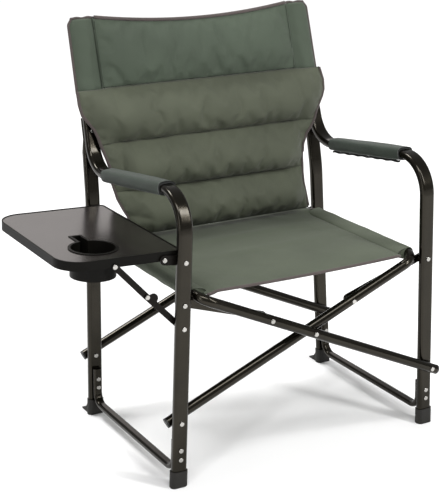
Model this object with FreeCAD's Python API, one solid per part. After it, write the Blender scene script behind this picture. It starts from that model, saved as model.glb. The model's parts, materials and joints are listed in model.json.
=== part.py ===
import FreeCAD, Part
import math
import os

# Folding camp chair, in millimetres. +X is the sitter's left as seen from the front, +Y is the back, +Z is up.
# Shapes are built with X = 0 on the middle plane and Y = 0 on the front legs, then moved so that the
# origin is the bottom centre of the whole chair's box.

V = FreeCAD.Vector

# ---- driving dimensions -------------------------------------------------------------------------
FOOT_HALF_SPACING = 319.4      # side frame's centre plane at the floor, from the middle
LEAN_DEG = 2.15                # each side frame leans inward at the top
LEG_WIDTH = 33.0               # flat-oval tube, wide face to the front
LEG_DEPTH = 17.0
LEG_CORNER = 7.0
TUBE_WALL = 1.5
ARM_HEIGHT = 633.0             # arm's centre line above the front leg
ARM_SLOPE = 0.13               # the arm drops towards the back
ARM_BEND = 76.0
POST_BACK_AT_FLOOR = 250.0     # the back post's line, carried down to the floor
POST_SLOPE = 0.30
POST_BEND = 75.0
POST_TOP = 893.0
REAR_LEG_FOOT = 418.0
REAR_LEG_SLOPE = 0.0423
REAR_LEG_BEND_HEIGHT = 512.0
REAR_LEG_TOP_SLOPE = 0.17
TONGUE_START = 618.0
TONGUE_FLAT = 648.0
TONGUE_TOP = 692.0
TONGUE_THICK = 5.0
BOOT_WALL = 2.5
BOOT_HEIGHT = 36.0

X_PIVOT_HEIGHT = 143.4         # lower pivots of the crossed seat frames
X_ANGLE_DEG = 24.53            # crossed tubes' angle when the chair stands open
X_TUBE_R = 11.0
RAIL_HALF_SPACING = 272.0      # seat rails from the middle
X_BEND = 34.0
X_END_PAST_PIVOT = 17.0
REAR_OFFSET = 422.8            # rear crossed tubes behind the front ones
FRONT_TUBE_Y = (-20.0, -13.5)  # left seat frame's tube: at its lower end, at its rail
BACK_TUBE_Y = (25.0, -8.0)     # right seat frame's tube: at its lower end, at its rail

LINK_PIVOT_HEIGHT = 400.0
LINK_RIVET_FROM_CROSSING = 118.5
LINK_WIDTH = 17.0
LINK_Y = (16.0, 20.0)

RUNNER_WIDTH = 20.0
RUNNER_DEPTH = 13.0
RUNNER_HEIGHT = 31.0
RUNNER_BEND = 28.0
RUNNER_TOP_REAR = 114.0
RUNNER_TOP_FRONT = 100.0
RUNNER_RIVETS = (62.7, 83.1)

RIVET_R = 3.0
HEAD_R = 5.2
HEAD_THICK = 2.2
RUN = 0.06                     # radial clearance of a rivet in a moving hole
GAP = 0.5

TABLE_OUTER_X = -553.0
TABLE_INNER_X = -299.0
TABLE_FRONT_Y = 13.4
TABLE_REAR_Y = 389.0
TABLE_TOP = 513.0              # top face, before the table is leaned with its side frame
TABLE_RIM = 19.0
TABLE_SKIN = 3.0               # board thickness
BOARD_SINK = 1.0               # the board lies this far below the rim's edge
TABLE_WALL = 2.6               # rim thickness
TABLE_OUTER_CORNER = 55.0
TABLE_INNER_CORNER = 10.0
TABLE_HINGE = (-339.4, 496.5)
TABLE_STAY_LEVEL = (-446.5, 496.0)
STAY_ELBOW = (-378.5, 425.8)
STAY_LEG_HEIGHT = 350.1
BRACKET_HEIGHT = 489.7
BRACKET_REAR_SHIFT = 6.0
STAY_WIDTH = 13.0
STAY_LOWER_Y = (9.0, 10.8)
STAY_UPPER_Y = (11.1, 12.9)
CUP_CENTRE = (-454.5, 97.0)
CUP_R = 45.0
CUP_WALL = 2.0
CUP_DEPTH = 57.0
CUP_RING_R = 50.5
CUP_FLANGE = 1.6
CUP_FLOOR = 2.5
SLOT_WIDTH = 17.0
SLOT_REACH = 86.0
SLOT_DEPTH = 34.0

SLEEVE_R = 12.6
SEAT_FRONT_Y = -4.0
SEAT_REAR_Y = 412.0
SEAT_CORNER = 34.0             # cut-off corners that clear the seat frames' bends
SEAT_THICK = 8.0
SEAT_TOP = 422.5
BACK_TOP = 903.0
BACK_BOTTOM = 430.0
BACK_FRONT = 20.0
BACK_REAR = 12.0

# ---- worked out from the dimensions above --------------------------------------------------------
LEAN = math.tan(math.radians(LEAN_DEG))
BOARD_TOP = TABLE_TOP - BOARD_SINK
PIVOT_X = FOOT_HALF_SPACING - LEAN * X_PIVOT_HEIGHT
X_ANGLE = math.radians(X_ANGLE_DEG)
X_HALF = PIVOT_X / math.cos(X_ANGLE)                 # lower pivot to crossing
RAIL_REACH = RAIL_HALF_SPACING / math.cos(X_ANGLE)   # crossing to rail
CROSS_HEIGHT = X_PIVOT_HEIGHT + PIVOT_X * math.tan(X_ANGLE)
RAIL_HEIGHT = CROSS_HEIGHT + RAIL_HALF_SPACING * math.tan(X_ANGLE)
LINK_PIVOT_X = FOOT_HALF_SPACING - LEAN * LINK_PIVOT_HEIGHT
STAY_LEG_X = FOOT_HALF_SPACING - LEAN * STAY_LEG_HEIGHT
TABLE_STAY = (
    TABLE_HINGE[0] + (TABLE_STAY_LEVEL[0] - TABLE_HINGE[0]) * math.cos(math.radians(LEAN_DEG)),
    TABLE_STAY_LEVEL[1] - (TABLE_STAY_LEVEL[0] - TABLE_HINGE[0]) * math.sin(math.radians(LEAN_DEG)),
)


def frame_x(height):
    """The right side frame's centre plane at a height."""
    return FOOT_HALF_SPACING - LEAN * height


def post_y(height):
    return POST_BACK_AT_FLOOR + POST_SLOPE * height


def rear_leg_y(height):
    return REAR_LEG_FOOT + REAR_LEG_SLOPE * height


# ---- small helpers -------------------------------------------------------------------------------
def rounded_path(points, radii):
    """A wire through the points, with an arc of the given radius at each inner point."""
    edges = []
    start = points[0]
    for i in range(1, len(points) - 1):
        to_last = (points[i - 1] - points[i]).normalize()
        to_next = (points[i + 1] - points[i]).normalize()
        half = to_last.getAngle(to_next) / 2
        reach = radii[i - 1] / math.tan(half)
        bisector = (to_last + to_next).normalize()
        arc_in = points[i] + to_last * reach
        arc_out = points[i] + to_next * reach
        middle = points[i] + bisector * (radii[i - 1] / math.sin(half) - radii[i - 1])
        edges.append(Part.LineSegment(start, arc_in).toShape())
        edges.append(Part.Arc(arc_in, middle, arc_out).toShape())
        start = arc_out
    edges.append(Part.LineSegment(start, points[-1]).toShape())
    return Part.Wire(edges)


def flat_oval(width, depth, corner, origin, along):
    """A rounded rectangle wire, width along X, at origin, square to the direction along in the YZ plane."""
    side = V(1, 0, 0)
    other = along.cross(side).normalize()
    w, d, r = width / 2, depth / 2, corner
    k = r * (1 - math.sqrt(0.5))

    def at(a, b):
        return origin + side * a + other * b

    corners = ((1, 1), (-1, 1), (-1, -1), (1, -1))
    edges = []
    for i, (a, b) in enumerate(corners):
        first = at(a * w, b * (d - r)) if a == b else at(a * (w - r), b * d)
        last = at(a * (w - r), b * d) if a == b else at(a * w, b * (d - r))
        edges.append(Part.Arc(first, at(a * (w - k), b * (d - k)), last).toShape())
        c, e = corners[(i + 1) % 4]
        nxt = at(c * w, e * (d - r)) if c == e else at(c * (w - r), e * d)
        edges.append(Part.LineSegment(last, nxt).toShape())
    return Part.Wire(edges)


def sweep(profile, path):
    shape = path.makePipeShell([profile], True, False)
    return Part.Solid(shape) if shape.ShapeType == "Shell" else shape


def oval_tube(points, radii, width, depth, corner, wall):
    path = rounded_path(points, radii)
    along = (points[1] - points[0]).normalize()
    outer = sweep(flat_oval(width, depth, corner, points[0], along), path)
    inner = sweep(flat_oval(width - 2 * wall, depth - 2 * wall, corner - wall, points[0], along), path)
    return outer.cut(inner)


def round_tube(points, radii, radius, wall):
    path = rounded_path(points, radii)
    along = (points[1] - points[0]).normalize()
    outer = sweep(Part.Wire(Part.makeCircle(radius, points[0], along)), path)
    inner = sweep(Part.Wire(Part.makeCircle(radius - wall, points[0], along)), path)
    return outer.cut(inner)


def rod(x, z, radius, y0, y1):
    return Part.makeCylinder(radius, y1 - y0, V(x, y0, z), V(0, 1, 0))


def rivet(x, z, y0, y1, radius=RIVET_R, collar=None):
    """A rivet along Y: a shank between two low domed heads, with an optional spacer collar (y from, y to)."""
    front = rod(x, z, HEAD_R, y0 - HEAD_THICK, y0)
    back = rod(x, z, HEAD_R, y1, y1 + HEAD_THICK)
    front = front.makeFillet(1.4, [edge_at(front, y0 - HEAD_THICK)])
    back = back.makeFillet(1.4, [edge_at(back, y1 + HEAD_THICK)])
    body = rod(x, z, radius, y0 - 0.5, y1 + 0.5).fuse([front, back])
    if collar:
        body = body.fuse(rod(x, z, HEAD_R - 0.4, collar[0], collar[1]))
    return body.removeSplitter()


def edge_at(shape, y):
    for edge in shape.Edges:
        box = edge.BoundBox
        if abs(box.YMin - y) < 1e-6 and abs(box.YMax - y) < 1e-6:
            return edge


def bar(start, end, width, y0, y1):
    """A flat bar in the XZ plane with round ends, from start to end (x, z), between two depths."""
    a, b = V(start[0], y0, start[1]), V(end[0], y0, end[1])
    along = (b - a).normalize()
    side = V(-along.z, 0, along.x) * (width / 2)
    tip = along * (width / 2)
    edges = [
        Part.LineSegment(a + side, b + side).toShape(),
        Part.Arc(b + side, b + tip, b - side).toShape(),
        Part.LineSegment(b - side, a - side).toShape(),
        Part.Arc(a - side, a - tip, a + side).toShape(),
    ]
    return Part.Face(Part.Wire(edges)).extrude(V(0, y1 - y0, 0))


def plate_yz(points, x0, x1):
    wire = Part.makePolygon([V(x0, y, z) for y, z in points + points[:1]])
    return Part.Face(wire).extrude(V(x1 - x0, 0, 0))


def drill(shape, holes, radius, y0=-60.0, y1=520.0):
    for x, z in holes:
        shape = shape.cut(rod(x, z, radius, y0, y1))
    return shape


def leaned(shape, side):
    """A part built upright at X = 0 is moved to its side frame and leaned inward. side is -1 left, 1 right."""
    shape = shape.copy()
    shape.rotate(V(0, 0, 0), V(0, 1, 0), -side * LEAN_DEG)
    shape.translate(V(side * FOOT_HALF_SPACING, 0, 0))
    return shape


def with_table(shape):
    """A table piece built level is leaned about the hinge, square to the left side frame."""
    shape = shape.copy()
    shape.rotate(V(TABLE_HINGE[0], 0, TABLE_HINGE[1]), V(0, 1, 0), LEAN_DEG)
    return shape


def group(shapes):
    return Part.makeCompound(shapes)


# ---- side frames ---------------------------------------------------------------------------------
def side_tube():
    """Front leg, arm and back post: one bent flat-oval tube."""
    corner_back_z = (ARM_HEIGHT - ARM_SLOPE * POST_BACK_AT_FLOOR) / (1 + ARM_SLOPE * POST_SLOPE)
    points = [
        V(0, 0, BOOT_WALL),
        V(0, 0, ARM_HEIGHT),
        V(0, post_y(corner_back_z), corner_back_z),
        V(0, post_y(POST_TOP), POST_TOP),
    ]
    return oval_tube(points, [ARM_BEND, POST_BEND], LEG_WIDTH, LEG_DEPTH, LEG_CORNER, TUBE_WALL)


def rear_leg():
    """Rear leg: a bent tube whose top is pressed flat and lies behind the back post."""
    top_y = rear_leg_y(REAR_LEG_BEND_HEIGHT) + REAR_LEG_TOP_SLOPE * (TONGUE_START - REAR_LEG_BEND_HEIGHT)
    points = [
        V(0, rear_leg_y(BOOT_WALL), BOOT_WALL),
        V(0, rear_leg_y(REAR_LEG_BEND_HEIGHT), REAR_LEG_BEND_HEIGHT),
        V(0, top_y, TONGUE_START),
    ]
    tube = oval_tube(points, [260.0], LEG_WIDTH, LEG_DEPTH, LEG_CORNER, TUBE_WALL)
    behind_post = (LEG_DEPTH / 2 + TONGUE_THICK / 2 + 0.1) * math.sqrt(1 + POST_SLOPE ** 2)
    leg_dir = (points[2] - points[1]).normalize()
    post_dir = V(0, POST_SLOPE, 1).normalize()
    low = V(0, post_y(TONGUE_FLAT) + behind_post, TONGUE_FLAT)
    high = V(0, post_y(TONGUE_TOP) + behind_post, TONGUE_TOP)
    neck = Part.makeLoft([
        flat_oval(LEG_WIDTH, LEG_DEPTH, LEG_CORNER, points[2], leg_dir),
        flat_oval(LEG_WIDTH, TONGUE_THICK, TONGUE_THICK * 0.45, low, post_dir),
    ], True, True)
    tongue = Part.makeLoft([
        flat_oval(LEG_WIDTH, TONGUE_THICK, TONGUE_THICK * 0.45, low, post_dir),
        flat_oval(LEG_WIDTH, TONGUE_THICK, TONGUE_THICK * 0.45, high, post_dir),
    ], True, True)
    return tube.fuse([neck, tongue])


def floor_runner():
    """U-shaped bar near the floor, riveted behind the front leg and in front of the rear leg."""
    front_y = LEG_DEPTH / 2 + RUNNER_DEPTH / 2 + 0.1
    rear_low = rear_leg_y(RUNNER_HEIGHT) - front_y
    rear_high = rear_leg_y(RUNNER_TOP_REAR) - front_y
    points = [
        V(0, front_y, RUNNER_TOP_FRONT),
        V(0, front_y, RUNNER_HEIGHT),
        V(0, rear_low, RUNNER_HEIGHT),
        V(0, rear_high, RUNNER_TOP_REAR),
    ]
    return oval_tube(points, [RUNNER_BEND] * 2, RUNNER_WIDTH, RUNNER_DEPTH, 5.5, TUBE_WALL)


def boot(y, slope, side):
    """A rubber boot round a leg's end, with a level sole. The sloping rear ones have a heel flared to the back."""
    wide = LEG_WIDTH + 2 * BOOT_WALL
    deep = LEG_DEPTH + 2 * BOOT_WALL
    under = -3.0
    shell = Part.Face(flat_oval(wide, deep, LEG_CORNER + BOOT_WALL, V(0, y, under), V(0, 0, 1)))
    shell = shell.extrude(V(0, 0, BOOT_HEIGHT - under))
    if slope:
        edge = -wide / 2 + 3
        flare = plate_yz([(y, under), (y + 38, under), (y + 38, 3), (y + 20, 8), (y + deep / 2 - 2, 24), (y, 24)],
                         edge, -edge)
        shell = shell.fuse(flare)
    along = V(0, slope, 1).normalize()
    start = V(0, y + slope * BOOT_WALL, BOOT_WALL)
    socket = Part.Face(flat_oval(LEG_WIDTH + 0.1, LEG_DEPTH + 0.1, LEG_CORNER, start, along))
    shape = leaned(shell.cut(socket.extrude(along * BOOT_HEIGHT * 1.2)), side)
    below = Part.makeBox(200, 200, 20, V(side * FOOT_HALF_SPACING - 100, y - 80, -20))
    return shape.cut(below)


def arm_sleeve():
    """A padded fabric sleeve round the straight of the arm."""
    front_y, rear_y = 82.0, 352.0
    start = V(0, front_y, ARM_HEIGHT - ARM_SLOPE * front_y)
    end = V(0, rear_y, ARM_HEIGHT - ARM_SLOPE * rear_y)
    along = (end - start).normalize()
    outer = Part.Face(flat_oval(LEG_WIDTH + 5, LEG_DEPTH + 8, LEG_CORNER + 3.5, start, along))
    inner = Part.Face(flat_oval(LEG_WIDTH + 0.4, LEG_DEPTH + 0.4, LEG_CORNER, start, along))
    return outer.extrude(end - start).cut(inner.extrude(end - start))


def post_cap():
    """Plastic plug on the post's top."""
    up = V(0, POST_SLOPE, 1).normalize()
    foot = V(0, post_y(POST_TOP), POST_TOP)
    head = Part.Face(flat_oval(LEG_WIDTH, LEG_DEPTH, LEG_CORNER, foot, up)).extrude(up * 4)
    inside = LEG_WIDTH - 2 * TUBE_WALL
    stem_wire = flat_oval(inside, LEG_DEPTH - 2 * TUBE_WALL, LEG_CORNER - TUBE_WALL, foot - up * 14, up)
    return head.fuse(Part.Face(stem_wire).extrude(up * 14)).removeSplitter()


def back_sleeve():
    """The back fabric's pocket round the post."""
    up = V(0, POST_SLOPE, 1).normalize()
    low = 706.0
    start = V(0, post_y(low), low)
    length = (BACK_TOP - low) * math.sqrt(1 + POST_SLOPE ** 2)
    outer = Part.Face(flat_oval(LEG_WIDTH + 5, LEG_DEPTH + 6, LEG_CORNER + 3, start, up)).extrude(up * length)
    inner = Part.Face(flat_oval(LEG_WIDTH + 0.6, LEG_DEPTH + 0.6, LEG_CORNER, start, up))
    return outer.cut(inner.extrude(up * (length - 2)))


def frame_rivets():
    """Rivets of the runner's two ends and of the rear leg's flat top."""
    out = []
    for z in RUNNER_RIVETS:
        out.append(rivet(0, z, -LEG_DEPTH / 2, LEG_DEPTH / 2 + RUNNER_DEPTH))
    for z in (70.0, 90.0):
        y = rear_leg_y(z)
        out.append(rivet(0, z, y - LEG_DEPTH / 2 - RUNNER_DEPTH, y + LEG_DEPTH / 2))
    z = 668.0
    y = post_y(z)
    out.append(rivet(0, z, y - LEG_DEPTH / 2 - 0.6, y + LEG_DEPTH / 2 + TONGUE_THICK + 1.6))
    return out


def cut_for(shape, pins):
    for pin in pins:
        shape = shape.cut(pin)
    return shape


# ---- crossed seat frames -------------------------------------------------------------------------
def seat_frame_points(side, depth):
    """Path of one U-shaped seat frame. side is the side of its rail, and depth its Y at pivot and at rail."""
    c, s = math.cos(X_ANGLE), math.sin(X_ANGLE)
    whole = X_HALF + RAIL_REACH
    slope = (depth[1] - depth[0]) / whole

    def at(reach, y_extra):
        return V(side * (reach * c - PIVOT_X), depth[0] + slope * reach + y_extra, X_PIVOT_HEIGHT + reach * s)

    return [at(-X_END_PAST_PIVOT, 0), at(whole, 0), at(whole, REAR_OFFSET), at(-X_END_PAST_PIVOT, REAR_OFFSET)]


def seat_frame(side, depth):
    tube = round_tube(seat_frame_points(side, depth), [X_BEND] * 2, X_TUBE_R, TUBE_WALL)
    tube = drill(tube, seat_frame_holes(side), RIVET_R + RUN)
    return cut_for(tube, link_tube_studs(side))


def seat_frame_holes(side):
    return [(-side * PIVOT_X, X_PIVOT_HEIGHT), (0, CROSS_HEIGHT), link_rivet(side)]


def link_rivet(side):
    reach = LINK_RIVET_FROM_CROSSING
    return (side * reach * math.cos(X_ANGLE), CROSS_HEIGHT + reach * math.sin(X_ANGLE))


def seat_frame_caps(side, depth):
    points = seat_frame_points(side, depth)
    out = []
    for end, inner in ((points[0], points[1]), (points[3], points[2])):
        along = (inner - end).normalize()
        dome = Part.makeCylinder(X_TUBE_R, 4, end - along * 4, along)
        stem = Part.makeCylinder(X_TUBE_R - TUBE_WALL, 8, end, along)
        out.append(dome.fuse(stem).removeSplitter())
    return out


def tube_depth(side, reach):
    """Y of a crossed tube's centre line at a distance from its lower pivot, for the front tube."""
    depth = FRONT_TUBE_Y if side < 0 else BACK_TUBE_Y
    return depth[0] + (depth[1] - depth[0]) * reach / (X_HALF + RAIL_REACH)


def pivot_rivets(side):
    """Rivets joining a seat frame's lower ends to the legs of the opposite side frame."""
    x = -side * PIVOT_X
    centre = tube_depth(side, 0)
    leg_rear = rear_leg_y(X_PIVOT_HEIGHT)
    out = []
    for y, leg in ((centre, 0.0), (centre + REAR_OFFSET, leg_rear)):
        ends = sorted((leg - LEG_DEPTH / 2, leg + LEG_DEPTH / 2, y - X_TUBE_R, y + X_TUBE_R))
        out.append(rivet(x, X_PIVOT_HEIGHT, ends[0] - 0.4, ends[3] + 0.4))
    return out


def crossing_bolts():
    front = tube_depth(-1, X_HALF) - X_TUBE_R
    back = tube_depth(1, X_HALF) + X_TUBE_R
    return [rivet(0, CROSS_HEIGHT, front - 0.4 + dy, back + 0.4 + dy) for dy in (0, REAR_OFFSET)]


def link_bars(side):
    """Front and rear link on one side, from the legs to the seat frame that carries that side's rail."""
    pivot = (side * LINK_PIVOT_X, LINK_PIVOT_HEIGHT)
    out = []
    for leg_y in (0.0, rear_leg_y(LINK_PIVOT_HEIGHT)):
        piece = bar(pivot, link_rivet(side), LINK_WIDTH, LINK_Y[0] + leg_y, LINK_Y[1] + leg_y)
        out.append(drill(piece, [pivot, link_rivet(side)], RIVET_R + RUN))
    return out


def link_leg_rivets(side):
    out = []
    for leg_y in (0.0, rear_leg_y(LINK_PIVOT_HEIGHT)):
        out.append(rivet(
            side * LINK_PIVOT_X, LINK_PIVOT_HEIGHT, leg_y - LEG_DEPTH / 2 - 0.3, leg_y + LINK_Y[1] + 0.3,
            collar=(leg_y + LEG_DEPTH / 2 + 0.3, leg_y + LINK_Y[0] - 0.3),
        ))
    return out


def link_tube_studs(side):
    """Studs on the crossed tube that hold the links' inner ends."""
    x, z = link_rivet(side)
    centre = tube_depth(side, X_HALF + LINK_RIVET_FROM_CROSSING)
    out = []
    for dy, leg_y in ((0.0, 0.0), (REAR_OFFSET, rear_leg_y(LINK_PIVOT_HEIGHT))):
        y0 = centre - X_TUBE_R + dy - 0.2
        collar = (centre + X_TUBE_R - 0.6 + dy, LINK_Y[0] - GAP + leg_y)
        head = rod(x, z, HEAD_R, y0 - HEAD_THICK, y0)
        head = head.makeFillet(1.4, [edge_at(head, y0 - HEAD_THICK)])
        stud = rod(x, z, RIVET_R, y0 - 0.5, collar[1])
        out.append(stud.fuse([head, rod(x, z, HEAD_R - 0.4, *collar)]).removeSplitter())
    return out


# ---- side table ----------------------------------------------------------------------------------
def rounded_outline(z, inset=0.0):
    """The table top's outline: square inner corners a little rounded, outer corners well rounded."""
    x0, x1 = TABLE_OUTER_X + inset, TABLE_INNER_X - inset
    y0, y1 = TABLE_FRONT_Y + inset, TABLE_REAR_Y - inset
    corners = [
        (V(x0, y0, z), TABLE_OUTER_CORNER - inset), (V(x1, y0, z), TABLE_INNER_CORNER - inset * 0.9),
        (V(x1, y1, z), TABLE_INNER_CORNER - inset * 0.9), (V(x0, y1, z), TABLE_OUTER_CORNER - inset),
    ]
    box = Part.Face(Part.makePolygon([p for p, _ in corners] + [corners[0][0]])).extrude(V(0, 0, 10))
    for point, radius in corners:
        edge = next(e for e in box.Edges if is_upright(e) and near(e, point))
        box = box.makeFillet(radius, [edge])
    bottom = next(f for f in box.Faces if abs(f.BoundBox.ZMax - z) < 1e-6)
    return Part.Face(bottom.OuterWire)


def is_upright(edge):
    box = edge.BoundBox
    return box.ZLength > 9 and box.XLength < 1e-6 and box.YLength < 1e-6


def near(edge, point):
    centre = edge.CenterOfMass
    return abs(centre.x - point.x) < 0.1 and abs(centre.y - point.y) < 0.1


def keyhole(radius, grow, z0, z1):
    """A round peg with a square arm towards the back: the cup and the slot for a mug's handle."""
    x, y = CUP_CENTRE
    peg = Part.makeCylinder(radius, z1 - z0, V(x, y, z0))
    arm = Part.makeBox(SLOT_WIDTH + 2 * grow, SLOT_REACH + grow, z1 - z0, V(x - SLOT_WIDTH / 2 - grow, y, z0))
    return peg.fuse(arm)


def table_board():
    """The table's flat board, with a hole for the cup and its slot."""
    body = rounded_outline(BOARD_TOP - TABLE_SKIN, TABLE_WALL + 0.1).extrude(V(0, 0, TABLE_SKIN))
    hole = keyhole(CUP_R + CUP_WALL + 0.2, CUP_WALL + 0.2, TABLE_TOP - 20, TABLE_TOP + 20)
    return with_table(body.cut(hole))


def table_rim():
    """A band that runs round the board's edge, with the holes of the hinge and stay pins."""
    low = TABLE_TOP - TABLE_RIM
    body = rounded_outline(low).extrude(V(0, 0, TABLE_RIM))
    body = body.cut(rounded_outline(low - 1, TABLE_WALL).extrude(V(0, 0, TABLE_RIM + 2)))
    for x, z in (TABLE_HINGE, TABLE_STAY_LEVEL):
        body = body.cut(rod(x, z, RIVET_R + RUN, TABLE_FRONT_Y - 2, TABLE_FRONT_Y + 6))
        body = body.cut(rod(x, z, RIVET_R + RUN, TABLE_REAR_Y - 6, TABLE_REAR_Y + 2))
    return with_table(body)


def cup_holder():
    """A plastic cup with a slot for a mug's handle, hung in the board's hole by its flange."""
    x, y = CUP_CENTRE
    floor_z = BOARD_TOP - CUP_DEPTH
    slot_z = BOARD_TOP - SLOT_DEPTH
    above = BOARD_TOP + CUP_FLANGE
    body = Part.makeCylinder(CUP_R + CUP_WALL, above - floor_z, V(x, y, floor_z))
    body = body.fuse(keyhole(CUP_R + CUP_WALL, CUP_WALL, slot_z, above))
    body = body.fuse(keyhole(CUP_RING_R, CUP_RING_R - CUP_R, BOARD_TOP, above))
    body = body.cut(Part.makeCylinder(CUP_R, CUP_DEPTH + 10, V(x, y, floor_z + CUP_FLOOR)))
    body = body.cut(keyhole(CUP_R, 0.0, slot_z + CUP_FLOOR, above + 5))
    return with_table(body.removeSplitter())


def table_rivets():
    """Rivets held by the table: its two hinge pins and the stay's pin."""
    hx, hz = TABLE_HINGE
    sx, sz = TABLE_STAY
    return [
        rivet(hx, hz, LEG_DEPTH / 2 + 0.3, TABLE_FRONT_Y + TABLE_WALL),
        rivet(hx, hz, TABLE_REAR_Y - TABLE_WALL, TABLE_REAR_Y + 4.2),
        rivet(sx, sz, STAY_UPPER_Y[0] - 0.2, TABLE_FRONT_Y + TABLE_WALL),
    ]


def front_bracket():
    """Steel arm fixed to the front leg that carries the table's front hinge pin."""
    leg_x = -frame_x(BRACKET_HEIGHT)
    y0, y1 = LEG_DEPTH / 2, TABLE_FRONT_Y - 0.9
    piece = bar(TABLE_HINGE, (leg_x + 4, BRACKET_HEIGHT), 20.0, y0 + 0.6, y1)
    piece = piece.fuse(rod(leg_x, BRACKET_HEIGHT, 9.0, y0, y0 + 0.8))
    return cut_for(drill(piece, [TABLE_HINGE], RIVET_R + RUN), bracket_rivets()).removeSplitter()


def rear_bracket():
    """Steel arm on the rear leg: a plate along the table's rear rim and a foot that reaches back to the leg."""
    leg_z = BRACKET_HEIGHT
    leg_x = -frame_x(leg_z)
    y0, y1 = TABLE_REAR_Y + 0.9, TABLE_REAR_Y + 3.9
    leg_face = rear_leg_y(leg_z) - LEG_DEPTH / 2 - 1.2
    piece = bar(TABLE_HINGE, (leg_x, leg_z), 20.0, y0, y1)
    web = Part.makeBox(3.0, leg_face - y0, 20.0, V(leg_x - 4, y0, leg_z - 10))
    foot = Part.makeBox(26.0, 1.8, 20.0, V(leg_x - 13, leg_face - 1.2, leg_z - 10))
    piece = piece.fuse([web, foot]).removeSplitter()
    return cut_for(drill(piece, [TABLE_HINGE], RIVET_R + RUN, TABLE_REAR_Y, y1 + 1), bracket_rivets())


def bracket_rivets():
    z = BRACKET_HEIGHT
    x = -frame_x(z)
    rear = rear_leg_y(z)
    return [
        rivet(x, z, -LEG_DEPTH / 2, TABLE_FRONT_Y - 0.9),
        rivet(x + BRACKET_REAR_SHIFT, z, rear - LEG_DEPTH / 2 - 2.4, rear + LEG_DEPTH / 2 + 0.4),
    ]


def stay_bars():
    """The two halves of the table's folding stay."""
    leg = (-STAY_LEG_X, STAY_LEG_HEIGHT)
    upper = bar(TABLE_STAY, STAY_ELBOW, STAY_WIDTH, *STAY_UPPER_Y)
    lower = bar(STAY_ELBOW, leg, STAY_WIDTH, *STAY_LOWER_Y)
    upper = drill(upper, [TABLE_STAY], RIVET_R + RUN)
    lower = drill(lower, [leg], RIVET_R + RUN)
    return upper, lower


def stay_leg_rivet():
    return rivet(-STAY_LEG_X, STAY_LEG_HEIGHT, -LEG_DEPTH / 2, STAY_LOWER_Y[1] + 0.3)


def stay_elbow_button():
    """Half of the elbow's rivet: it stays with the lower bar, and stops short of the upper one."""
    x, z = STAY_ELBOW
    head = rod(x, z, HEAD_R, STAY_LOWER_Y[0] - HEAD_THICK, STAY_LOWER_Y[0])
    return head.makeFillet(1.4, [edge_at(head, STAY_LOWER_Y[0] - HEAD_THICK)])


def stay_catch():
    """A hooked catch riveted to the lower bar just below the elbow."""
    along = V(-STAY_LEG_X - STAY_ELBOW[0], 0, STAY_LEG_HEIGHT - STAY_ELBOW[1]).normalize()
    side = V(-along.z, 0, along.x)
    base = V(STAY_ELBOW[0], STAY_LOWER_Y[0], STAY_ELBOW[1]) + along * 12 + side * 5.5
    disc = Part.makeCylinder(11.0, STAY_LOWER_Y[1] - STAY_LOWER_Y[0], base, V(0, 1, 0))
    keep = Part.makeBox(60, 20, 40, V(-30, -5, STAY_WIDTH / 2 + 0.01))
    keep.rotate(V(0, 0, 0), V(0, 1, 0), -math.degrees(math.atan2(along.z, along.x)))
    keep.translate(V(STAY_ELBOW[0], STAY_LOWER_Y[0], STAY_ELBOW[1]))
    return disc.common(keep)


# ---- soft parts ----------------------------------------------------------------------------------
def seat_sleeve(side):
    """The seat fabric's pocket round a rail."""
    x = side * RAIL_HALF_SPACING
    depth = FRONT_TUBE_Y if side < 0 else BACK_TUBE_Y
    y0, y1 = depth[1] + X_BEND + 2, depth[1] + REAR_OFFSET - X_BEND - 2
    return rod(x, RAIL_HEIGHT, SLEEVE_R, y0, y1).cut(rod(x, RAIL_HEIGHT, X_TUBE_R + 0.2, y0 - 1, y1 + 1))


def seat_panel():
    """The seat's cloth and thin pad, stretched between the two pockets."""
    half = RAIL_HALF_SPACING - SLEEVE_R - GAP
    narrow = half - SEAT_CORNER
    front, rear = SEAT_FRONT_Y, SEAT_REAR_Y
    outline = [
        (-narrow, front), (narrow, front), (half, front + SEAT_CORNER), (half, rear - SEAT_CORNER),
        (narrow, rear), (-narrow, rear), (-half, rear - SEAT_CORNER), (-half, front + SEAT_CORNER),
        (-narrow, front),
    ]
    wire = Part.makePolygon([V(x, y, SEAT_TOP - SEAT_THICK) for x, y in outline])
    return Part.Face(wire).extrude(V(0, 0, SEAT_THICK))


def back_panel():
    """The padded back between the posts, following their slope and curving in to the seat at the bottom."""
    tops = [BACK_TOP, 706.0, 560.0, BACK_BOTTOM]
    middle = [post_y(BACK_TOP), post_y(706.0), 425.0, 417.0]
    half = [frame_x(BACK_TOP) - 20.0, frame_x(706.0) - 20.0, frame_x(560.0) - 24.0, 262.0]
    solids = []
    for i in range(len(tops) - 1):
        wires = []
        for j in (i, i + 1):
            z, y, h = tops[j], middle[j], half[j]
            wires.append(Part.makePolygon([
                V(-h, y - BACK_FRONT, z), V(h, y - BACK_FRONT, z), V(h, y + BACK_REAR, z),
                V(-h, y + BACK_REAR, z), V(-h, y - BACK_FRONT, z),
            ]))
        solids.append(Part.makeLoft(wires, True, True))
    return solids[0].fuse(solids[1:]).removeSplitter()


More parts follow.
